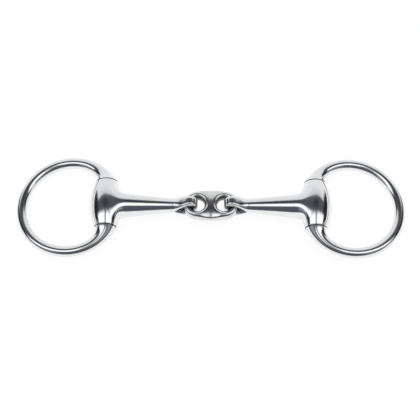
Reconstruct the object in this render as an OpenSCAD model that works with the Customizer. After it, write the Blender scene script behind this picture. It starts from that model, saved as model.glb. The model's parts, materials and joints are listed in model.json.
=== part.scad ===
// Double-jointed eggbutt snaffle bit. Two cheek rings swivel on barrels at the ends
// of a three-piece mouthpiece, whose middle is a flat link with two holes.
// Millimetres. The bit lies flat: X along the mouthpiece, Y along the barrels, Z up,
// origin on the table under the middle of the link.

/* [Mouthpiece] */
// Mouth width, between the inner sides of the two barrels
mouth_w = 125; // [105:1:150]
// Diameter of the bar where it leaves the barrel
bar_d = 15.2; // [12:0.2:18]
// Diameter of the bar at its neck, just before the eye
neck_d = 9.6; // [7:0.2:11]
// Length over which the barrel flares down into the bar
flare_len = 7.4; // [5:0.2:12]

/* [Barrel] */
// Length of the barrel along its pivot
barrel_len = 33.2; // [26:0.2:42]
// Diameter of the barrel at its ends, and of the ring ends that meet it
barrel_end_d = 14.6; // [12:0.2:18]
// Diameter of the barrel at the middle of its swell
olive_d = 21.6; // [19:0.2:28]
// Chamfer round each end of the barrel
barrel_chamfer = 0.3; // [0.1:0.05:0.6]

/* [Cheek rings] */
// Inside diameter of the ring
ring_inside_d = 58.2; // [50:0.2:80]
// Diameter of the ring's wire at its bow
wire_d = 7.2; // [5:0.1:9]
// Distance from the pivot to the centre of the ring
ring_offset = 24.6; // [20:0.2:34]
// Angle round the ring over which each arm thickens towards the barrel
arm_angle = 62; // [45:1:80]

/* [Pivot pins] */
// Diameter of the hidden pin through the barrel
pin_d = 6; // [4:0.1:7]
// Depth of the pin's seat in each ring end
pin_seat = 4; // [3:0.25:5]
// Chamfer on each end of the pin
pin_chamfer = 0.4; // [0.2:0.1:1]

/* [Centre link] */
// Distance between the two holes
link_pitch = 17.6; // [16:0.2:26]
// Width of the link across its middle
link_w = 20.6; // [19.2:0.2:26]
// Metal left at each end of the link, outside its hole
link_end_wall = 4.8; // [4:0.1:5]
// Thickness of the link
link_t = 7.2; // [5:0.1:7.2]
// Smallest diameter of each hole, at mid thickness
link_hole_d = 9.2; // [9:0.1:10]
// Radius of the rounded wall of each hole
link_wall_r = 3.7; // [3.7:0.05:4.2]
// Length over which each end of the link rounds off
link_end_round = 2.6; // [1:0.1:3]
// Fullness of the link's section, where 2 is an oval and more is squarer
link_fullness = 4.5; // [3:0.1:6]

/* [Eyes] */
// Thickness of the eye's wire, measured across the loop
eye_wall = 4.6; // [3.4:0.1:5]
// Width of the eye's wire, along the hinge
eye_w = 6.6; // [5:0.1:7.2]
// Distance from the hinge to the neck of the bar
eye_len = 9.6; // [8:0.2:14]

/* [Fits] */
// Radial running clearance between pin and barrel
pivot_clearance = 0.05; // [0.02:0.01:0.1]
// Radial interference of the pin in its seats
press_interference = 0.01; // [0:0.005:0.02]
// Gap between a ring end and the barrel's end
seam_gap = 0.3; // [0.2:0.05:0.6]
// Radial play of the link's end bar in the eye
link_clearance = 0.4; // [0.3:0.05:0.8]

/* [Hidden] */

steel = [0.80, 0.81, 0.83];
link_steel = [0.74, 0.75, 0.77];
pin_steel = [0.62, 0.63, 0.65];
$fn = 96;
// Overlap that lets one cut or solid run clear of a face
over = 0.5;

// Barrel: its swell is an arc between the end diameter and the middle diameter
end_r = barrel_end_d / 2;
olive_r = olive_d / 2;
barrel_half = barrel_len / 2;
swell = olive_r - end_r;
swell_r = (barrel_half * barrel_half + swell * swell) / (2 * swell);
swell_centre = swell_r - olive_r;
function barrel_r(y) = sqrt(swell_r * swell_r - y * y) - swell_centre;

// Places of the pivots, hinges and axes
pivot_x = mouth_w / 2 + end_r;
axis_z = olive_r;
hole_r = link_hole_d / 2;
hinge_x = link_pitch / 2 + hole_r + link_wall_r;
cannon_len = pivot_x - hinge_x;
neck_x = cannon_len - eye_len;

// Ring: its bow rests on the table, so the ring tilts down from the pivot
wire_r = wire_d / 2;
ring_r = ring_inside_d / 2 + wire_r;
ring_tilt = asin((axis_z - wire_r) / (ring_offset + ring_r));
seam_y = barrel_half + seam_gap;
arm_start = atan2(seam_y, ring_offset);
arm_end = arm_start + arm_angle;
seam_r = norm([ring_offset, seam_y]);

// Joins a list of outlines, each with the same number of points, into one solid
module skin(outlines) {
  sides = len(outlines[0]);
  last = len(outlines) - 1;
  walls = [for (i = [0:last - 1], j = [0:sides - 1], half = [0:1])
    let (a = i * sides + j, b = i * sides + (j + 1) % sides)
    half == 0 ? [a, b + sides, b] : [a, a + sides, b + sides]];
  caps = [[for (j = [0:sides - 1]) j], [for (j = [sides - 1:-1:0]) last * sides + j]];
  polyhedron([for (outline = outlines, p = outline) p], concat(walls, caps), convexity = 4);
}

// Oval outline across the X axis, centred at height z
function oval(x, z, half_y, half_z, sides) =
  [for (i = [0:sides - 1]) let (t = 360 * i / sides) [x, half_y * cos(t), z + half_z * sin(t)]];

// Cheek ring, left hand, about the pivot axis and before its tilt
arm_sides = 28;
arm_steps = 14;
// Each arm ends a hair thicker than the wire, which runs a little way into it
arm_lip = 0.06;
arm_lap = 0.6;
function arm_ease(k, power) = pow(1 - k, power);
function arm_centre(k) =
  let (angle = arm_start + arm_angle * k, r = ring_r + (seam_r - ring_r) * arm_ease(k, 4))
  [r * cos(angle) - ring_offset, r * sin(angle), 0];
function unit(v) = v / norm(v);
function arm_tangent(k, h = 0.001) =
  k >= 1 ? [-sin(arm_end), cos(arm_end), 0] : unit(arm_centre(k + h) - arm_centre(k));
// The arm's outline turns from the barrel's end face to square with the wire
function arm_outline(k) =
  let (turn = arm_ease(k, 4),
       n = unit((1 - turn) * arm_tangent(k) + turn * [0, 1, 0]),
       r = wire_r + arm_lip + (end_r - wire_r - arm_lip) * arm_ease(k, 5))
  [for (i = [0:arm_sides - 1]) let (t = 360 * i / arm_sides)
    arm_centre(k) + r * (cos(t) * [n.y, -n.x, 0] - sin(t) * [0, 0, 1])];

module ring_arm() {
  difference() {
    skin([for (i = [0:arm_steps]) arm_outline(pow(i / arm_steps, 1.4))]);
    translate([0, seam_y - over, 0])
      rotate([-90, 0, 0])
        cylinder(r = pin_d / 2 - press_interference, h = pin_seat + over);
  }
}

module cheek_ring() {
  bow_start = arm_end - arm_lap;
  translate([-ring_offset, 0, 0])
    rotate([0, 0, bow_start])
      rotate_extrude(angle = 360 - 2 * bow_start)
        translate([ring_r, 0])
          circle(r = wire_r);
  ring_arm();
  mirror([0, 1, 0]) ring_arm();
}

// Pivot pin along Y, chamfered at both ends
module pivot_pin() {
  r = pin_d / 2;
  half = seam_y + pin_seat;
  rotate([90, 0, 0])
    rotate_extrude()
      polygon([[0, -half], [r - pin_chamfer, -half], [r, pin_chamfer - half],
               [r, half - pin_chamfer], [r - pin_chamfer, half], [0, half]]);
}

// Barrel of revolution, cut flat on the inside where the flare takes over
flare_step = 0.25;
flare_x0 = end_r + flare_step;
flare_x1 = flare_x0 + flare_len;
module barrel() {
  chamfer_run = swell + barrel_chamfer + over;
  chamfer_r = end_r - barrel_chamfer;
  difference() {
    rotate([90, 0, 0])
      rotate_extrude()
        intersection() {
          translate([-swell_centre, 0]) circle(r = swell_r, $fn = 360);
          polygon([[0, -barrel_half], [chamfer_r, -barrel_half],
                   [chamfer_r + chamfer_run, chamfer_run - barrel_half],
                   [chamfer_r + chamfer_run, barrel_half - chamfer_run],
                   [chamfer_r, barrel_half], [0, barrel_half]]);
        }
    translate([flare_x0, -barrel_len, -olive_d])
      cube([olive_r, 2 * barrel_len, 2 * olive_d]);
  }
}

// Bar of the mouthpiece: its outline blends from the barrel's own section to a circle,
// along a hollow curve, and then tapers to the neck and closes between the eye's legs
bar_sides = 40;
flare_steps = 9;
taper_steps = 11;
flare_power = 2.3;
root_share = 0.985;
root_depth = 3;
bar_r = bar_d / 2;
neck_r = neck_d / 2;
root_half = sqrt(swell_r * swell_r - pow(flare_x0 + swell_centre, 2));
function root_point(t) =
  let (y = root_half * cos(t), z2 = pow(barrel_r(y), 2) - flare_x0 * flare_x0)
  root_share * [y, sign(sin(t)) * sqrt(max(z2, 0))];
function flare_outline(x) =
  let (q = min((flare_x1 - x) / flare_len, 1), f = 1 - pow(1 - pow(q, flare_power), 1 / flare_power))
  [for (i = [0:bar_sides - 1])
    let (t = 360 * i / bar_sides, p = (1 - f) * bar_r * [cos(t), sin(t)] + f * root_point(t))
    [x, p.x, p.y]];
function bar_radius(x) =
  neck_r + (bar_r - neck_r) * pow(cos(90 * (x - flare_x1) / (neck_x - flare_x1)), 1.5);
module bar() {
  root = [flare_outline(flare_x0 - root_depth)];
  flare = [for (i = [0:flare_steps - 1]) flare_outline(flare_x1 - flare_len * cos(90 * i / flare_steps))];
  taper = [for (i = [0:taper_steps])
    let (x = flare_x1 + (neck_x - flare_x1) * i / taper_steps)
    oval(x, 0, bar_radius(x), bar_radius(x), bar_sides)];
  crotch = [for (t = [30:20:70])
    oval(neck_x + neck_r * sin(t), 0, neck_r * cos(t), neck_r * cos(t), bar_sides)];
  skin(concat(root, flare, taper, crotch));
}

// Eye: a half ring of oval wire round the hinge, and two legs that close in on the neck
eye_sides = 32;
eye_steps = 9;
slot_r = link_wall_r + link_clearance;
eye_r = slot_r + eye_wall / 2;
leg_end_z = eye_wall / 4;
leg_len = eye_len + leg_end_z;
leg_swell = 0.45;
function leg_outline(q) =
  let (spread = eye_r - leg_end_z,
       slope = spread * PI / (2 * leg_len) * sin(180 * q),
       z = leg_end_z + spread * (1 + cos(180 * q)) / 2)
  oval(cannon_len - leg_len * q, z, eye_w / 2 + leg_swell * sin(180 * q),
       eye_wall / 2 * sqrt(1 + slope * slope), eye_sides);
module eye_leg() {
  skin([for (i = [eye_steps:-1:0]) leg_outline(i / eye_steps)]);
}
module eye() {
  translate([cannon_len, 0, 0])
    rotate([90, 0, 0])
      rotate([0, 0, -90])
        rotate_extrude(angle = 180)
          polygon([for (i = [0:eye_sides - 1]) let (t = 360 * i / eye_sides)
            [eye_r + eye_wall / 2 * sin(t), eye_w / 2 * cos(t)]]);
  eye_leg();
  mirror([0, 0, 1]) eye_leg();
}

// Cannon: barrel, bar and eye are one forging, bored through for the pivot pin
module cannon() {
  difference() {
    union() {
      barrel();
      bar();
      eye();
    }
    translate([0, -barrel_len, 0])
      rotate([-90, 0, 0])
        cylinder(r = pin_d / 2 + pivot_clearance, h = 2 * barrel_len);
  }
}

// Link: a flat pebble. Seen from above, its ends are arcs round the holes, and its sides are wider
// arcs that run into them; a side arc's centre lies across the link, in line with each end's centre
link_sides = 36;
link_steps = 13;
link_end_r = hole_r + link_end_wall;
link_half = max(link_w / 2, link_end_r + 0.2);
link_end_x = link_pitch / 2 + link_end_r;
link_side_r = (pow(link_pitch / 2, 2) + link_half * link_half - link_end_r * link_end_r)
  / (2 * (link_half - link_end_r));
link_side_c = link_side_r - link_half;
link_meet_x = link_side_r * sin(atan2(link_pitch / 2, link_side_c));
function link_half_y(x) =
  abs(x) < link_meet_x ? sqrt(link_side_r * link_side_r - x * x) - link_side_c
                       : sqrt(link_end_r * link_end_r - pow(abs(x) - link_pitch / 2, 2));
function link_half_z(x) =
  let (u = max(0, 1 - (link_end_x - abs(x)) / link_end_round)) link_t / 2 * sqrt(1 - u * u);
function rounded(v) = sign(v) * pow(abs(v), 2 / link_fullness);
function link_outline(x) =
  [for (i = [0:link_sides - 1]) let (t = 360 * i / link_sides)
    [x, link_half_y(x) * rounded(cos(t)), link_half_z(x) * rounded(sin(t))]];

// Cutter for a hole whose wall is round like the wire of a chain link
module link_hole() {
  rotate_extrude()
    difference() {
      translate([0, -link_t / 2 - over]) square([hole_r + link_wall_r, link_t + 2 * over]);
      translate([hole_r + link_wall_r, 0]) circle(r = link_wall_r);
    }
}

module link_body() {
  difference() {
    skin([for (i = [1 - link_steps:link_steps - 1]) link_outline(link_end_x * sin(90 * i / link_steps))]);
    for (side = [-1, 1])
      translate([side * link_pitch / 2, 0, 0]) link_hole();
  }
}

// Puts a left-hand piece at the left pivot
module at_left() {
  translate([-pivot_x, 0, axis_z]) children();
}
module tilted_ring() {
  rotate([0, -ring_tilt, 0]) cheek_ring();
}

module left_ring() { color(steel) at_left() tilted_ring(); }
module left_pivot_pin() { color(pin_steel) at_left() pivot_pin(); }
module left_cannon() { color(steel) at_left() cannon(); }
module centre_link() { color(link_steel) translate([0, 0, axis_z]) link_body(); }
module right_cannon() { color(steel) mirror([1, 0, 0]) at_left() cannon(); }
module right_pivot_pin() { color(pin_steel) mirror([1, 0, 0]) at_left() pivot_pin(); }
module right_ring() { color(steel) mirror([1, 0, 0]) at_left() tilted_ring(); }

left_ring();
left_pivot_pin();
left_cannon();
centre_link();
right_cannon();
right_pivot_pin();
right_ring();
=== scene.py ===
import json
import math
import bmesh
import bpy
import numpy as np
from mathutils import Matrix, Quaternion, Vector


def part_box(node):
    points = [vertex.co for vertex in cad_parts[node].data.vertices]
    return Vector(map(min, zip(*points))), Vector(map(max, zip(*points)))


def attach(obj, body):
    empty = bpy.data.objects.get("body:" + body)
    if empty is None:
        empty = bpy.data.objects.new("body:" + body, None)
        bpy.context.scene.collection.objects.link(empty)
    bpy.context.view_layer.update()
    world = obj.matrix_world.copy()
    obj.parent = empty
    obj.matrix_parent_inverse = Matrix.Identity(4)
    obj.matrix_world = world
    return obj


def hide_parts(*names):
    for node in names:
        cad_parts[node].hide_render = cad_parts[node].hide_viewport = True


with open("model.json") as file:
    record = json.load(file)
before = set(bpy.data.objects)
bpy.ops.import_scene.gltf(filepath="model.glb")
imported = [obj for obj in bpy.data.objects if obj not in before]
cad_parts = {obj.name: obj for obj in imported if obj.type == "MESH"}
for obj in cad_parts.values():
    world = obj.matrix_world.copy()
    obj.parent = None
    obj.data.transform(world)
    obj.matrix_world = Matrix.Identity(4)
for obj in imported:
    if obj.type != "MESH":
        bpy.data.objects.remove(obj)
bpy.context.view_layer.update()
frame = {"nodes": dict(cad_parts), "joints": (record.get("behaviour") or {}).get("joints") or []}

# shapes are worked out in millimetres and put into the mesh in metres
mm = 0.001
joints = {j["name"]: j for j in frame["joints"]}
pivotX = -joints["left_ring_swivel"]["pos_m"][0] / mm
hingeX = -joints["left_cannon_fold"]["pos_m"][0] / mm
axisZ = joints["left_ring_swivel"]["pos_m"][2] / mm
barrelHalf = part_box("left_cannon")[1].y / mm
print("frame: pivots at", round(pivotX, 2), "hinges at", round(hingeX, 2), "axis height", round(axisZ, 2))


# even steps from 0 to 1 that crowd towards 0 by the given power
def crowded(count, power):
    return np.linspace(0, 1, count) ** power


# weight that runs from 0 to 1 with level ends
def eased(x):
    x = np.clip(x, 0, 1)
    return x * x * (3 - 2 * x)


# one patch is a grid of points with a texture coordinate for each row and column, in millimetres, and a satin wear
# value and a painted shade and dirt value for each point
def patch(points, along, around, satin=0.0, shadeAndDirt=0.0, closedRows=False, closedColumns=True):
    clear = np.zeros(points.shape[:2])
    return {"points": points, "along": along, "around": around, "satin": clear + satin, "shadeAndDirt": clear + shadeAndDirt,
            "closedRows": closedRows, "closedColumns": closedColumns}


# distance run along the rows of a grid, taken at the mean of its columns
def runLength(points, closedRows=False):
    steps = np.linalg.norm(np.diff(points, axis=0), axis=2).mean(axis=1)
    run = np.concatenate([[0], np.cumsum(steps)])
    if closedRows:
        run = np.append(run, run[-1] + np.linalg.norm(points[-1] - points[0], axis=1).mean())
    return run


# every four neighbouring points of a grid make a face, and a closed grid also joins its last to its first
def gridFaces(p, offset):
    rows, columns = p["points"].shape[:2]
    i, j = np.meshgrid(np.arange(rows if p["closedRows"] else rows - 1),
                       np.arange(columns if p["closedColumns"] else columns - 1), indexing="ij")
    corners = [(i, j), (i + 1, j), (i + 1, j + 1), (i, j + 1)]
    faces = np.stack([(a % rows) * columns + b % columns for a, b in corners], axis=-1).reshape(-1, 4) + offset
    uv = np.stack([np.stack([p["along"][a], p["around"][b]], axis=-1) for a, b in corners], axis=-2)
    return faces, uv.reshape(-1, 2)


# the mirror image of a patch in the plane across the middle of the link
def mirrored(p):
    return {**p, "points": p["points"] * np.array([-1, 1, 1])}


meshing = {"middleWithin": 1e-7, "mergeWithin": 2e-7, "flatBelow": 1e-8, "sharpFrom": 48}


# joins patches into one piece, drops faces in the plane x = 0 where asked, and turns the rest outwards
def makePiece(name, patches, body, material, node, openMiddle=False):
    offsets = np.concatenate([[0], np.cumsum([p["points"].shape[0] * p["points"].shape[1] for p in patches])])
    made = [gridFaces(p, o) for p, o in zip(patches, offsets)]
    points = np.concatenate([p["points"].reshape(-1, 3) for p in patches]) * mm
    faces = np.concatenate([m[0] for m in made])
    uv = np.concatenate([m[1] for m in made]).reshape(-1, 4, 2) * mm
    if openMiddle:
        keep = np.abs(points[faces][:, :, 0]).max(axis=1) > meshing["middleWithin"]
        faces, uv = faces[keep], uv[keep]
    mesh = bpy.data.meshes.new(name)
    mesh.from_pydata(points, [], faces)
    mesh.uv_layers.new(name="along").data.foreach_set("uv", uv.ravel())
    for perPoint in ("satin", "shadeAndDirt"):
        value = np.concatenate([p[perPoint].reshape(-1) for p in patches])
        mesh.attributes.new(perPoint, "FLOAT", "POINT").data.foreach_set("value", value)
    bm = bmesh.new()
    bm.from_mesh(mesh)
    bmesh.ops.remove_doubles(bm, verts=bm.verts, dist=meshing["mergeWithin"])
    bmesh.ops.dissolve_degenerate(bm, edges=bm.edges, dist=meshing["flatBelow"])
    bmesh.ops.recalc_face_normals(bm, faces=bm.faces)
    openEdges = sum(1 for e in bm.edges if not e.is_manifold)
    bm.to_mesh(mesh)
    bm.free()
    mesh.shade_smooth()
    mesh.set_sharp_from_angle(angle=math.radians(meshing["sharpFrom"]))
    mesh.materials.append(material)
    piece = bpy.data.objects.new(name, mesh)
    bpy.context.scene.collection.objects.link(piece)
    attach(piece, body)
    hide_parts(node)
    print("piece", name, len(mesh.polygons), "faces", openEdges, "open edges")


polish = {"lineStretch": (180, 5200, 1), "lineDetail": 3, "smearScale": 130, "smearDetail": 4, "pitScale": 2600,
          "pitDetail": 2, "lineTone": 0.5, "satinRough": 1.6, "pitHeight": 2.5, "relief": 0.00002}


# shared effect: fine polishing lines along the surface, soft smears and tiny pits; tone, gloss and height are
# weighted sums of the three noises
def makePolishGroup(s):
    group = bpy.data.node_groups.new("polishMarks", "ShaderNodeTree")
    for label, value in (("Line Amount", 0.5), ("Smear Amount", 0.5), ("Satin", 0.0)):
        socket = group.interface.new_socket(label, in_out="INPUT", socket_type="NodeSocketFloat")
        socket.default_value = value
    for label in ("Tone", "Roughness Mask", "Height"):
        group.interface.new_socket(label, in_out="OUTPUT", socket_type="NodeSocketFloat")
    nodes, links = group.nodes, group.links
    entry, leave = nodes.new("NodeGroupInput"), nodes.new("NodeGroupOutput")
    uv, place = nodes.new("ShaderNodeUVMap"), nodes.new("ShaderNodeTexCoord")
    uv.uv_map = "along"
    stretch = nodes.new("ShaderNodeMapping")
    stretch.inputs["Scale"].default_value = s["lineStretch"]
    lines, smears, pits = (nodes.new("ShaderNodeTexNoise") for _ in range(3))
    lines.noise_dimensions = "2D"
    lines.inputs["Scale"].default_value = 1
    lines.inputs["Detail"].default_value = s["lineDetail"]
    smears.inputs["Scale"].default_value = s["smearScale"]
    smears.inputs["Detail"].default_value = s["smearDetail"]
    pits.inputs["Scale"].default_value = s["pitScale"]
    pits.inputs["Detail"].default_value = s["pitDetail"]
    links.new(uv.outputs["UV"], stretch.inputs["Vector"])
    links.new(stretch.outputs["Vector"], lines.inputs["Vector"])
    links.new(place.outputs["Object"], smears.inputs["Vector"])
    links.new(place.outputs["Object"], pits.inputs["Vector"])

    # multiply or add two values inside the group
    def combine(kind, a, b):
        node = nodes.new("ShaderNodeMath")
        node.operation = kind
        for socket, value in zip(node.inputs, (a, b)):
            if isinstance(value, (int, float)):
                socket.default_value = value
            else:
                links.new(value, socket)
        return node.outputs[0]

    lineMask = combine("MULTIPLY", lines.outputs["Fac"], entry.outputs["Line Amount"])
    smearMask = combine("MULTIPLY", smears.outputs["Fac"], entry.outputs["Smear Amount"])
    pitMask = combine("MULTIPLY", pits.outputs["Fac"], entry.outputs["Satin"])
    tone = combine("ADD", combine("MULTIPLY", lineMask, s["lineTone"]), combine("ADD", smearMask, pitMask))
    worn = combine("MULTIPLY", entry.outputs["Satin"], s["satinRough"])
    rough = combine("ADD", combine("ADD", lineMask, smearMask), worn)
    height = combine("ADD", lineMask, combine("MULTIPLY", pitMask, s["pitHeight"]))
    links.new(tone, leave.inputs["Tone"])
    links.new(rough, leave.inputs["Roughness Mask"])
    links.new(height, leave.inputs["Height"])
    return group


polishMarks = makePolishGroup(polish)


# polished steel: metal whose tone, gloss and fine relief follow the polish marks, and whose colour is darkened by
# painted shade and dirt where the mesh asks
def makeSteel(name, look):
    material = bpy.data.materials.new(name)
    material.use_nodes = True
    nodes, links = material.node_tree.nodes, material.node_tree.links
    shader = nodes["Principled BSDF"]
    shader.inputs["Metallic"].default_value = 1
    marks = nodes.new("ShaderNodeGroup")
    marks.node_tree = polishMarks
    marks.inputs["Line Amount"].default_value = look["lines"]
    marks.inputs["Smear Amount"].default_value = look["smears"]
    if look["valuesFromMesh"]:
        worn = nodes.new("ShaderNodeAttribute")
        worn.attribute_name = "satin"
        links.new(worn.outputs["Fac"], marks.inputs["Satin"])
    else:
        marks.inputs["Satin"].default_value = look["satin"]
    tint = nodes.new("ShaderNodeMix")
    tint.data_type = "RGBA"
    tint.inputs["A"].default_value = (*look["bright"], 1)
    tint.inputs["B"].default_value = (*look["dull"], 1)
    gloss = nodes.new("ShaderNodeMapRange")
    gloss.inputs["To Min"].default_value = look["roughLow"]
    gloss.inputs["To Max"].default_value = look["roughHigh"]
    bump = nodes.new("ShaderNodeBump")
    bump.inputs["Strength"].default_value = look["bump"]
    bump.inputs["Distance"].default_value = polish["relief"]
    links.new(marks.outputs["Tone"], tint.inputs["Factor"])
    colour = tint.outputs["Result"]
    # painted shade and dirt: a value read from the mesh mixes a near black into the colour in seams, eyes and holes
    if look["valuesFromMesh"]:
        shadeAndDirtAmount, shadeAndDirtTint = nodes.new("ShaderNodeAttribute"), nodes.new("ShaderNodeMix")
        shadeAndDirtAmount.attribute_name = "shadeAndDirt"
        shadeAndDirtTint.data_type = "RGBA"
        shadeAndDirtTint.inputs["B"].default_value = (*look["shadeAndDirtTint"], 1)
        links.new(shadeAndDirtAmount.outputs["Fac"], shadeAndDirtTint.inputs["Factor"])
        links.new(colour, shadeAndDirtTint.inputs["A"])
        colour = shadeAndDirtTint.outputs["Result"]
    links.new(colour, shader.inputs["Base Color"])
    links.new(marks.outputs["Roughness Mask"], gloss.inputs["Value"])
    links.new(gloss.outputs["Result"], shader.inputs["Roughness"])
    links.new(marks.outputs["Height"], bump.inputs["Height"])
    links.new(bump.outputs["Normal"], shader.inputs["Normal"])
    return material


ringLook = {"bright": (0.9, 0.905, 0.915), "dull": (0.58, 0.59, 0.62), "lines": 0.35, "smears": 0.35,
            "roughLow": 0.03, "roughHigh": 0.24, "bump": 0.25, "valuesFromMesh": True, "shadeAndDirtTint": (0.03, 0.03, 0.035)}
cannonLook = {"bright": (0.9, 0.905, 0.915), "dull": (0.56, 0.57, 0.60), "lines": 0.3, "smears": 0.35,
              "roughLow": 0.03, "roughHigh": 0.26, "bump": 0.25, "valuesFromMesh": True, "shadeAndDirtTint": (0.03, 0.03, 0.035)}
linkLook = {"bright": (0.93, 0.932, 0.935), "dull": (0.36, 0.36, 0.335), "lines": 0.4, "smears": 0.45,
            "roughLow": 0.05, "roughHigh": 0.36, "bump": 0.3, "valuesFromMesh": True, "shadeAndDirtTint": (0.03, 0.03, 0.035)}
pinLook = {"bright": (0.66, 0.67, 0.69), "dull": (0.48, 0.49, 0.51), "lines": 0.2, "smears": 0.5,
           "roughLow": 0.2, "roughHigh": 0.5, "bump": 0.3, "valuesFromMesh": False, "satin": 0.3}
ringSteel = makeSteel("polishedRingSteel", ringLook)
cannonSteel = makeSteel("polishedMouthSteel", cannonLook)
linkSteel = makeSteel("polishedLinkSteel", linkLook)
pinSteel = makeSteel("drawnPinSteel", pinLook)
for pinName in ("left_pivot_pin", "right_pivot_pin"):
    pinMesh = frame["nodes"][pinName].data
    pinMesh.materials.clear()
    pinMesh.materials.append(pinSteel)
print("materials ready")

ring = {"wireR": 3.6, "ringR": 32.7, "offset": 24.6, "armTurn": 62, "endR": 7.3, "pinR": 3.0, "seat": 4.0,
        "seamGap": 0.3, "edge": 0.15, "shadeAndDirtReach": 0.4, "leavePower": 4, "swellPower": 5, "seamZone": 0.2,
        "crowding": 1.9, "armRows": 90, "bowRows": 150, "columns": 72}


# cheek ring: a round section carried along one path from seam to seam; in each arm the centre line leaves the
# circle by one power, and the radius swells by another, of the way to the seam
def ringSkin(s):
    seamY = barrelHalf + s["seamGap"]
    startAngle = math.degrees(math.atan2(seamY, s["offset"]))
    seamR = math.hypot(seamY, s["offset"])
    armK = crowded(s["armRows"], s["crowding"])
    bow = np.linspace(startAngle + s["armTurn"], 360 - startAngle - s["armTurn"], s["bowRows"])
    angle = np.concatenate([startAngle + s["armTurn"] * armK[:-1], bow,
                            (360 - startAngle - s["armTurn"] * armK[:-1])[::-1]])
    k = np.clip(np.minimum(angle - startAngle, 360 - startAngle - angle) / s["armTurn"], 0, 1)
    a = np.radians(angle)
    r = s["ringR"] + (seamR - s["ringR"]) * (1 - k) ** s["leavePower"]
    centre = np.stack([r * np.cos(a) - s["offset"], r * np.sin(a)], axis=1)
    turn = ((1 - k) ** s["leavePower"])[:, None]
    n = (1 - turn) * np.stack([-np.sin(a), np.cos(a)], axis=1) + turn * np.array([0.0, 1.0])
    n /= np.linalg.norm(n, axis=1, keepdims=True)
    atSeam = k < s["seamZone"]
    depth = np.clip(1 - (np.abs(centre[:, 1]) - seamY) / s["edge"], 0, 1) * atSeam
    swell = (s["endR"] - s["wireR"]) * (1 - k) ** s["swellPower"]
    radius = s["wireR"] + swell - s["edge"] * (1 - np.sqrt(1 - depth ** 2))
    # each end gets its flat face and the seat that the pin fills
    capR = np.array([0.0, s["pinR"], s["pinR"]])
    capY = seamY + np.array([s["seat"], s["seat"], 0.0])
    capCentre = np.stack([0 * capY, capY], axis=1)
    capN = np.tile([0.0, 1.0], (len(capR), 1))
    centre = np.concatenate([capCentre, centre, (capCentre * [1, -1])[::-1]])
    n = np.concatenate([capN, n, capN])
    radius = np.concatenate([capR, radius, capR[::-1]])
    phi = np.linspace(0, 2 * np.pi, s["columns"], endpoint=False)
    side = np.stack([n[:, 1], -n[:, 0]], axis=1)
    flat = centre[:, None, :] + (radius[:, None] * np.cos(phi))[..., None] * side[:, None, :]
    points = np.dstack([flat, radius[:, None] * np.sin(phi)])
    # the bow rests on the table, so the ring tilts down from the pivot
    tilt = math.asin((axisZ - s["wireR"]) / (s["offset"] + s["ringR"]))
    x, y, z = points[..., 0], points[..., 1], points[..., 2]
    points = np.dstack([x * math.cos(tilt) - z * math.sin(tilt) - pivotX, y,
                        x * math.sin(tilt) + z * math.cos(tilt) + axisZ])
    around = np.linspace(0, 2 * np.pi, s["columns"] + 1) * s["wireR"]
    # painted shade and dirt darken the seam, the end faces and just round their edges
    caps = len(capR)
    outside = np.where(atSeam, np.abs(centre[caps:-caps, 1]) - seamY, s["shadeAndDirtReach"])
    shadeAndDirt = np.concatenate([np.ones(caps), eased(1 - outside / s["shadeAndDirtReach"]), np.ones(caps)])[:, None]
    return [patch(points, runLength(points), around, shadeAndDirt=shadeAndDirt)]


barrel = {"endR": 7.3, "oliveR": axisZ, "innerSwell": 2.4, "edge": 0.15, "boreR": 3.05,
          "shadeAndDirtReach": 0.4, "edgeRows": 7, "rows": 130, "columns": 144}
bar = {"barR": 7.9, "neckR": 4.7, "flareEnd": 14.2, "rootY": 15.2, "rootZ": 10.6,
       "rootFullness": 2.6, "taper": 1.05, "bendSide": 1.6, "bendTop": 1.0, "skirt": (-2.0, 0.14, 0.07),
       "sunk": (1.2, 0.02, 0.004), "closeX": 5.2, "slopeStep": 0.02, "flareRows": 34, "barRows": 60, "columns": 128}
eye = {"length": 8.0, "wall": 4.6, "width": 6.6, "loopZ": 6.7, "tipReach": 8.7, "shoulder": 2.6, "square": 2.5,
       "straight": 0.35, "slotFrom": 0.1, "hairline": 0.01, "boxedBy": 0.7, "flatness": 3.5, "shadeAndDirt": 0.45,
       "insideFrom": 0.35, "insideOver": 0.9, "wornBy": 0.5, "legRows": 56, "tipRows": 44}


# radius of the barrel at a distance y from its middle: an arc through the end and middle radii
def barrelR(y):
    swell = barrel["oliveR"] - barrel["endR"]
    arcR = (barrelHalf ** 2 + swell ** 2) / (2 * swell)
    return np.sqrt(arcR ** 2 - y ** 2) - (arcR - barrel["oliveR"])


# depth of the barrel towards the bar, nearly straight along the barrel
def barrelDepth(y):
    return barrel["endR"] + barrel["innerSwell"] * (1 - (y / barrelHalf) ** 2)


# barrel: an oval carried along its axis, round on the outer half and flattened on the half that meets the bar
def barrelSkin(s):
    turn = np.linspace(0, np.pi / 2, s["edgeRows"])
    edgeY = barrelHalf - s["edge"] * (1 - np.sin(turn))
    edgeR = s["endR"] - s["edge"] * (1 - np.cos(turn))
    y = np.linspace(-barrelHalf + s["edge"], barrelHalf - s["edge"], s["rows"])
    rowY = np.concatenate([[-barrelHalf], -edgeY[::-1], y[1:-1], edgeY, [barrelHalf]])
    outer = np.concatenate([[s["boreR"]], edgeR[::-1], barrelR(y[1:-1]), edgeR, [s["boreR"]]])[:, None]
    inner = np.concatenate([[s["boreR"]], edgeR[::-1], barrelDepth(y[1:-1]), edgeR, [s["boreR"]]])[:, None]
    phi = np.linspace(0, 2 * np.pi, s["columns"], endpoint=False)
    depth = np.where(np.cos(phi) > 0, inner, outer)
    points = np.dstack([depth * np.cos(phi), rowY[:, None] + 0 * phi, outer * np.sin(phi)])
    around = np.linspace(0, 2 * np.pi, s["columns"] + 1) * s["endR"]
    # painted shade and dirt darken the barrel towards its ends, at the seams
    shadeAndDirt = eased(1 - (barrelHalf - np.abs(rowY)) / s["shadeAndDirtReach"])[:, None]
    return patch(points, runLength(points, True), around, shadeAndDirt=shadeAndDirt, closedRows=True)


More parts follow.
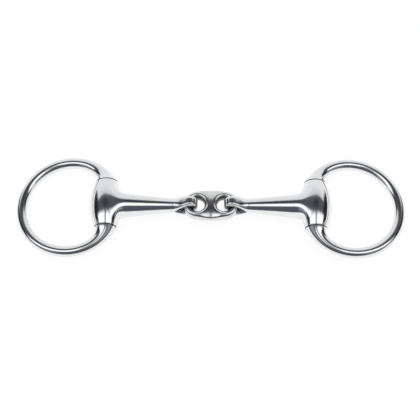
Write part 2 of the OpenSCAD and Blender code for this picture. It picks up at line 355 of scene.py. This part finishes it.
# trumpet flare and bar: columns run out from a rounded line on the barrel, bend by a cubic to the bar's
# circle, and then follow the bar as its radius falls by a power of the way left to the neck
def flareSkin(s, neckX):
    psi = np.linspace(0, 2 * np.pi, s["columns"], endpoint=False)
    p = s["rootFullness"]
    rootR = (np.abs(np.cos(psi) / s["rootY"]) ** p + np.abs(np.sin(psi) / s["rootZ"]) ** p) ** (-1 / p)
    bend = s["bendTop"] + (s["bendSide"] - s["bendTop"]) * np.cos(psi) ** 2

    # distance from the pivot to the barrel's surface, at a radius from the bar's axis
    def surfaceX(rho):
        y, z = rho * np.cos(psi), rho * np.sin(psi)
        return barrelDepth(y) * np.sqrt(np.maximum(1 - (z / barrelR(y)) ** 2, 0))

    slope = (surfaceX(rootR - s["slopeStep"]) - surfaceX(rootR)) / s["slopeStep"]
    rootX = surfaceX(rootR)
    chord = bend * np.hypot(s["flareEnd"] - rootX, rootR - s["barR"])
    leaveX, leaveR = chord * slope / np.hypot(slope, 1), -chord / np.hypot(slope, 1)
    t = np.linspace(0, 1, s["flareRows"])[:, None]
    h0, h1 = 2 * t ** 3 - 3 * t ** 2 + 1, t ** 3 - 2 * t ** 2 + t
    h2, h3 = 3 * t ** 2 - 2 * t ** 3, t ** 3 - t ** 2
    taper = s["taper"] * (s["barR"] - s["neckR"]) / (neckX - s["flareEnd"])
    flareX = h0 * rootX + h1 * leaveX + h2 * s["flareEnd"] + h3 * chord
    flareR = h0 * rootR + h1 * leaveR + h2 * s["barR"] - h3 * chord * taper
    # a skirt dips under the barrel's surface so the flare leaves it smoothly, and closes inside the metal
    skirtR = rootR[None, :] + np.array(s["skirt"])[:, None]
    sunk = np.array(s["sunk"])[:, None]
    skirtX = np.stack([surfaceX(row) for row in skirtR]) - sunk
    skirtR = skirtR - sunk
    pole = np.zeros((1, s["columns"]))
    way = np.linspace(0, 1, s["barRows"])[1:, None]
    barX = s["flareEnd"] + (neckX - s["flareEnd"]) * way + pole
    barR = s["neckR"] + (s["barR"] - s["neckR"]) * (1 - way) ** s["taper"] + pole
    x = np.concatenate([pole + s["closeX"], skirtX, flareX, barX])
    r = np.concatenate([pole, skirtR, flareR, barR])
    points = np.dstack([x, r * np.cos(psi), r * np.sin(psi)])
    around = np.linspace(0, 2 * np.pi, s["columns"] + 1) * s["barR"]
    return patch(points, runLength(points), around)


# squares off a cosine or sine, so that the oval it draws turns into a rounded box as the power grows
def squared(v, power):
    return np.sign(v) * np.abs(v) ** (2 / power)


# eye: a section carried up one leg from the half of the neck, round the blunt tip and back down the other leg;
# a leg's outer side rises by a mix of a straight and an eased line, the slot opens by the square of the way left,
# after a hairline, the section eases from half a disc into a rounded box, and the tip is a squared oval
def eyeSkin(s, neckR, columns, hinge):
    phi = np.linspace(0, 2 * np.pi, columns, endpoint=False)
    half = s["wall"] / 2
    legLength = s["length"] + s["shoulder"]
    q = 1 - np.linspace(0, 1, s["legRows"])[:, None]
    w = 1 - q
    rise = s["straight"] * w + (1 - s["straight"]) * eased(w)
    topZ = neckR + (s["loopZ"] + half - neckR) * rise
    opening = np.maximum(1 - (q / (1 - s["slotFrom"])) ** 2, s["hairline"] * w)
    bottomZ = (s["loopZ"] - half) * opening
    halfY = s["width"] / 2 + (neckR - s["width"] / 2) * eased(q)
    blend = eased(w / s["boxedBy"])
    power = 2 + (s["flatness"] - 2) * eased(w)
    halfDisc = 2 * np.sin(phi).clip(0) - 1
    shape = (1 - blend) * halfDisc + blend * squared(np.sin(phi), power)
    legY = halfY * ((1 - blend) * np.cos(phi) + blend * squared(np.cos(phi), power))
    legZ = (topZ + bottomZ) / 2 + (topZ - bottomZ) / 2 * shape
    legX = hinge - s["length"] + legLength * w + 0 * phi
    upper = np.dstack([legX, legY, legZ])
    lower = upper[::-1] * np.array([1, 1, -1])
    a = np.linspace(np.pi / 2, -np.pi / 2, s["tipRows"])[1:-1, None]
    outward, sideways = squared(np.sin(phi), s["flatness"]), squared(np.cos(phi), s["flatness"])
    reachX = s["tipReach"] - s["shoulder"] - half + half * outward
    reachZ = s["loopZ"] + half * outward
    tip = np.dstack([hinge + s["shoulder"] + reachX * squared(np.cos(a), s["square"]),
                     s["width"] / 2 * sideways + 0 * a, reachZ * squared(np.sin(a), s["square"])])
    points = np.concatenate([upper, tip, lower])
    # the eye's inside is worn to satin, and darkened there by painted shade
    inside = eased((s["insideFrom"] - np.sin(phi)) / s["insideOver"])
    apart = np.concatenate([w[:, 0], np.ones(len(tip)), w[::-1, 0]])
    satin = eased(apart / s["wornBy"])[:, None] * inside
    around = np.linspace(0, 2 * np.pi, columns + 1) * s["width"] / 2
    return patch(points, runLength(points), around, satin, s["shadeAndDirt"] * satin)


# moves a cannon's patches from the pivot's own place to the left pivot
def atLeftPivot(patches):
    return [{**p, "points": p["points"] + np.array([-pivotX, 0, axisZ])} for p in patches]


link = {"holeX": 8.8, "holeR": 4.6, "wallR": 2.8, "halfW": 10.3, "halfT": 3.7, "endR": 9.4, "crestR": 7.4,
        "valley": 2.0, "fullness": 7.0, "bevel": 0.3, "bevelPower": 1.5, "crown": 0.2, "crownReach": 6.5,
        "shadeAndDirt": 0.4, "wornShare": 0.7, "wornFade": 1.4, "markR": 7, "markRun": 24, "searchTo": 16.0, "halvings": 40,
        "planeWithin": 1e-6, "leastWay": 1e-9, "middleRays": 70, "outerRays": 150, "rows": 80}


# half width of the link at x: arcs round the holes at its ends, and a wide arc along each side
def linkHalfY(x, s):
    sideR = (s["holeX"] ** 2 + s["halfW"] ** 2 - s["endR"] ** 2) / (2 * (s["halfW"] - s["endR"]))
    sideC = sideR - s["halfW"]
    meetX = sideR * s["holeX"] / math.hypot(s["holeX"], sideC)
    side = np.sqrt(np.maximum(sideR ** 2 - x ** 2, 0)) - sideC
    end = np.sqrt(np.maximum(s["endR"] ** 2 - (np.abs(x) - s["holeX"]) ** 2, 0))
    return np.where(np.abs(x) < meetX, side, end)


# height of the link's upper face: full at the crest round each hole, and from there to the outline it falls by
# a bevel, a power of the share of the way, times a full oval of that share that turns over at the outline;
# between the holes the distance to the nearer one is taken softly, and the web there is crowned by the square
# of the way to its side
def linkTop(x, y, reach, s):
    left, right = np.hypot(x + s["holeX"], y), np.hypot(x - s["holeX"], y)
    h = np.clip(0.5 + 0.5 * (right - left) / s["valley"], 0, 1)
    nearer = right * (1 - h) + left * h - s["valley"] * h * (1 - h)
    beyond = np.maximum(nearer - s["crestR"], 0)
    toSide = linkHalfY(x, s) - np.abs(y)
    toEnd = reach - left
    toEdge = np.maximum(np.where(x < -s["holeX"], toEnd, toSide), 0)
    share = beyond / np.maximum(beyond + toEdge, s["leastWay"])
    oval = np.maximum(1 - share ** s["fullness"], 0) ** (1 / s["fullness"])
    bevel = 1 - s["bevel"] * share ** s["bevelPower"]
    web = np.maximum(1 - (x / s["crownReach"]) ** 2, 0) ** 2
    crown = 1 - s["crown"] * web * np.minimum(y / s["halfW"], 1) ** 2
    return s["halfT"] * oval * bevel * crown


# link, left half: rays run out from the middle of the hole to the link's outline or to the middle plane;
# along a ray the height is the lower of the hole's round wall and the link's upper face
def linkHalf(s):
    corner = math.atan2(s["halfW"], s["holeX"])
    theta = np.concatenate([np.linspace(-corner, corner, s["middleRays"]),
                            np.linspace(corner, 2 * np.pi - corner, s["outerRays"])[1:-1]])
    # distance to the outline, found by halving the span between a point inside and one outside
    near, far = np.full_like(theta, s["holeR"]), np.full_like(theta, s["searchTo"])
    for _ in range(s["halvings"]):
        mid = (near + far) / 2
        x, y = mid * np.cos(theta) - s["holeX"], mid * np.sin(theta)
        inside = (np.abs(y) < linkHalfY(x, s)) & (x < 0) & (x > -s["holeX"] - s["endR"])
        near, far = np.where(inside, mid, near), np.where(inside, far, mid)
    reach = near[:, None]
    toMiddle = (np.abs(near * np.cos(theta) - s["holeX"]) < s["planeWithin"])[:, None]
    t = np.linspace(0, 1, s["rows"])[None, :]
    # rows crowd at the wall's waist and at the outline, where the surface turns over
    rho = s["holeR"] + (reach - s["holeR"]) * (1 - np.cos(np.pi * t)) / 2
    x, y = rho * np.cos(theta)[:, None] - s["holeX"], rho * np.sin(theta)[:, None]
    x = np.where(toMiddle & (t == 1), 0.0, x)
    into = np.clip((s["holeR"] + s["wallR"] - rho) / s["wallR"], 0, 1)
    wall = s["halfT"] * np.sqrt(1 - into ** 2)
    top = np.minimum(wall, linkTop(x, y, reach, s))
    top = np.where(t == 0, 0, np.maximum(top, 0))
    top = np.where((t == 1) & ~toMiddle, 0, top)
    upper = np.dstack([x, y, top])
    lower = (upper * np.array([1, 1, -1]))[:, -2:0:-1]
    # a ray that ends in the middle plane comes back under the link from its own end
    turn = np.where(toMiddle[..., None], upper[:, -1:] * np.array([1, 1, -1]), upper[:, -1:])
    points = np.concatenate([upper, turn, lower], axis=1) + np.array([0, 0, axisZ])
    reachAll = np.concatenate([rho, rho[:, -1:], rho[:, -2:0:-1]], axis=1)
    # the hole's wall is worn to satin, and darkened there by painted shade
    bore = eased((s["holeR"] + s["wallR"] * s["wornShare"] - reachAll) / s["wornFade"])
    along = np.linspace(0, 2 * np.pi, len(theta) + 1) * s["markR"]
    around = np.linspace(0, 1, points.shape[1] + 1) * s["markRun"]
    return patch(points, along, around, bore, s["shadeAndDirt"] * bore, closedRows=True)


leftRing = ringSkin(ring)
makePiece("leftCheekRing", leftRing, "left_cheek", ringSteel, "left_ring")
makePiece("rightCheekRing", [mirrored(p) for p in leftRing], "right_cheek", ringSteel,
          "right_ring")
cannonLength = pivotX - hingeX
leftCannon = atLeftPivot([barrelSkin(barrel), flareSkin(bar, cannonLength - eye["length"]),
                          eyeSkin(eye, bar["neckR"], bar["columns"], cannonLength)])
makePiece("leftMouthCannon", leftCannon, "left_cannon", cannonSteel, "left_cannon")
makePiece("rightMouthCannon", [mirrored(p) for p in leftCannon], "right_cannon", cannonSteel,
          "right_cannon")
leftHalf = linkHalf(link)
makePiece("centreLink", [leftHalf, mirrored(leftHalf)], "link", linkSteel, "centre_link", True)

studio = {"elevation": 64.3, "distance": 1.1, "metresPerPixel": 0.000667, "aimRight": -0.0005, "aimUp": -0.00287,
          "roll": 0.31, "sensor": 36, "pixels": 420, "clip": (0.01, 50), "floorHalf": 4.0, "floorTone": 0.82,
          "glowInView": 0.94, "glowInMetal": 0.95}


# camera: looks along +Y and down, so that the middle of the link falls a little above the image centre
def makeCamera(s):
    e = math.radians(s["elevation"])
    back = Vector((0, -math.cos(e), math.sin(e)))
    up = Vector((0, math.sin(e), math.cos(e)))
    aim = Vector((s["aimRight"], 0, axisZ * mm)) + up * s["aimUp"]
    lens = bpy.data.cameras.new("bitCamera")
    lens.sensor_width = s["sensor"]
    lens.lens = s["sensor"] * s["distance"] / s["metresPerPixel"] / s["pixels"]
    lens.clip_start, lens.clip_end = s["clip"]
    camera = bpy.data.objects.new("bitCamera", lens)
    camera.rotation_mode = "QUATERNION"
    camera.location = aim + back * s["distance"]
    roll = Quaternion((0, 0, 1), math.radians(s["roll"]))
    camera.rotation_quaternion = (-back).to_track_quat("-Z", "Y") @ roll
    bpy.context.scene.collection.objects.link(camera)
    bpy.context.scene.camera = camera


makeCamera(studio)


# floor: a flat white sheet; what the camera and the metal see of it is white, less the bit's faint shadow
def makeFloor(s):
    h = s["floorHalf"]
    mesh = bpy.data.meshes.new("studioFloor")
    mesh.from_pydata([(-h, -h, 0), (h, -h, 0), (h, h, 0), (-h, h, 0)], [], [(0, 1, 2, 3)])
    material = bpy.data.materials.new("studioFloorWhite")
    material.use_nodes = True
    nodes, links = material.node_tree.nodes, material.node_tree.links
    shader = nodes["Principled BSDF"]
    shader.inputs["Base Color"].default_value = (s["floorTone"], s["floorTone"], s["floorTone"], 1)
    shader.inputs["Roughness"].default_value = 1
    shader.inputs["Specular IOR Level"].default_value = 0
    glow, blend = nodes.new("ShaderNodeEmission"), nodes.new("ShaderNodeMixShader")
    path = nodes.new("ShaderNodeLightPath")
    inView, inMetal = nodes.new("ShaderNodeMath"), nodes.new("ShaderNodeMath")
    inView.operation, inMetal.operation = "MULTIPLY", "MULTIPLY_ADD"
    inView.inputs[1].default_value = s["glowInView"]
    inMetal.inputs[1].default_value = s["glowInMetal"]
    links.new(path.outputs["Is Camera Ray"], inView.inputs[0])
    links.new(path.outputs["Is Glossy Ray"], inMetal.inputs[0])
    links.new(inView.outputs[0], inMetal.inputs[2])
    links.new(inMetal.outputs[0], blend.inputs["Fac"])
    links.new(shader.outputs[0], blend.inputs[1])
    links.new(glow.outputs[0], blend.inputs[2])
    links.new(blend.outputs[0], nodes["Material Output"].inputs["Surface"])
    mesh.materials.append(material)
    floor = bpy.data.objects.new("studioFloor", mesh)
    bpy.context.scene.collection.objects.link(floor)


makeFloor(studio)


# an edge of a part of the room is an angle in degrees and its softness
room = {"dark": (0.042, 0.047, 0.055), "farGlow": (0.17, 0.18, 0.195), "farGlowFrom": (120, 9),
        "nearGlow": (0.1, 0.109, 0.122), "nearGlowTo": (98, 10), "sides": (0.1, 0.11, 0.125), "sidesFrom": (18, 10),
        "sidesShare": 0.75, "ends": (0.022, 0.024, 0.028), "endsFrom": (52, 6), "front": (0.085, 0.1, 0.122),
        "frontFrom": (10, 6), "frontTo": (44, 7), "corners": (0.3, 0.315, 0.34), "cornersFrom": (30, 9),
        "cornersYaw": (30, 9), "softbox": (1.3, 1.31, 1.33), "softboxFrom": (62, 5), "softboxTo": (90, 7),
        "softboxWide": (60, 6), "gapHalf": (7.5, 2.5), "gapDepth": 0.72, "backdrop": (0.72, 0.725, 0.735),
        "backdropFrom": (126, 3), "backdropWide": (48, 6), "backdropFar": (0.9, 0.905, 0.91),
        "backdropFarFrom": (138, 11)}


# studio room: dim all round, with a soft light above the camera's side and a pale backdrop beyond the bit;
# a direction's pitch runs from the near horizon (0) over the top (90) to the far one (180), its yaw is sideways
def makeRoom(s):
    world = bpy.data.worlds.new("studioRoom")
    bpy.context.scene.world = world
    world.use_nodes = True
    nodes, links = world.node_tree.nodes, world.node_tree.links
    place, axes = nodes.new("ShaderNodeTexCoord"), nodes.new("ShaderNodeSeparateXYZ")
    links.new(place.outputs["Generated"], axes.inputs[0])

    # one step of arithmetic on sockets or plain numbers
    def reckon(kind, *values):
        node = nodes.new("ShaderNodeMath")
        node.operation = kind
        for socket, value in zip(node.inputs, values):
            if isinstance(value, (int, float)):
                socket.default_value = value
            else:
                links.new(value, socket)
        return node.outputs[0]

    # rises from 0 to 1 round an edge's angle, over twice its softness
    def above(angle, edge):
        at, soft = edge
        node = nodes.new("ShaderNodeMapRange")
        node.interpolation_type = "SMOOTHSTEP"
        node.inputs["From Min"].default_value = at - soft
        node.inputs["From Max"].default_value = at + soft
        links.new(angle, node.inputs["Value"])
        return node.outputs["Result"]

    # falls from 1 to 0 in the same way
    def below(angle, edge):
        return reckon("SUBTRACT", 1.0, above(angle, edge))

    # product of two masks
    def both(a, b):
        return reckon("MULTIPLY", a, b)

    # the base colour gives way to another one by a mask
    def over(base, colour, mask):
        node = nodes.new("ShaderNodeMix")
        node.data_type = "RGBA"
        links.new(mask, node.inputs["Factor"])
        if isinstance(base, tuple):
            node.inputs["A"].default_value = (*base, 1)
        else:
            links.new(base, node.inputs["A"])
        node.inputs["B"].default_value = (*colour, 1)
        return node.outputs["Result"]

    toDegrees = 180 / math.pi
    towards = reckon("MULTIPLY", axes.outputs["Y"], -1.0)
    pitch = reckon("MULTIPLY", reckon("ARCTAN2", axes.outputs["Z"], towards), toDegrees)
    yaw = reckon("ABSOLUTE", reckon("MULTIPLY", reckon("ARCSINE", axes.outputs["X"]), toDegrees))
    softbox = both(above(pitch, s["softboxFrom"]), below(pitch, s["softboxTo"]))
    softbox = both(softbox, below(yaw, s["softboxWide"]))
    gap = both(below(yaw, s["gapHalf"]), s["gapDepth"])
    softbox = both(softbox, reckon("SUBTRACT", 1.0, gap))
    front = both(above(pitch, s["frontFrom"]), below(pitch, s["frontTo"]))
    corners = both(above(pitch, s["cornersFrom"]), below(pitch, s["softboxFrom"]))
    corners = both(corners, above(yaw, s["cornersYaw"]))
    backdrop = both(above(pitch, s["backdropFrom"]), below(yaw, s["backdropWide"]))
    colour = over(s["dark"], s["farGlow"], above(pitch, s["farGlowFrom"]))
    colour = over(colour, s["nearGlow"], below(pitch, s["nearGlowTo"]))
    colour = over(colour, s["sides"], both(above(yaw, s["sidesFrom"]), s["sidesShare"]))
    colour = over(colour, s["ends"], above(yaw, s["endsFrom"]))
    colour = over(colour, s["front"], front)
    colour = over(colour, s["corners"], corners)
    colour = over(colour, s["softbox"], softbox)
    colour = over(colour, s["backdrop"], backdrop)
    colour = over(colour, s["backdropFar"], both(backdrop, above(pitch, s["backdropFarFrom"])))
    links.new(colour, nodes["Background"].inputs["Color"])


makeRoom(room)


lamp = {"size": (1.6, 1.2), "energy": 26, "place": (0, 0.1, 1.4)}


# lamp: a large soft light overhead that gives the floor its plain level and the bit its faint shadow
def makeLamp(s):
    data = bpy.data.lights.new("overheadLamp", "AREA")
    data.shape = "RECTANGLE"
    data.size, data.size_y = s["size"]
    data.energy = s["energy"]
    light = bpy.data.objects.new("overheadLamp", data)
    light.location = s["place"]
    light.visible_glossy = False
    bpy.context.scene.collection.objects.link(light)


makeLamp(lamp)
print("studio ready")
bpy.context.scene.view_settings.view_transform = "Standard"
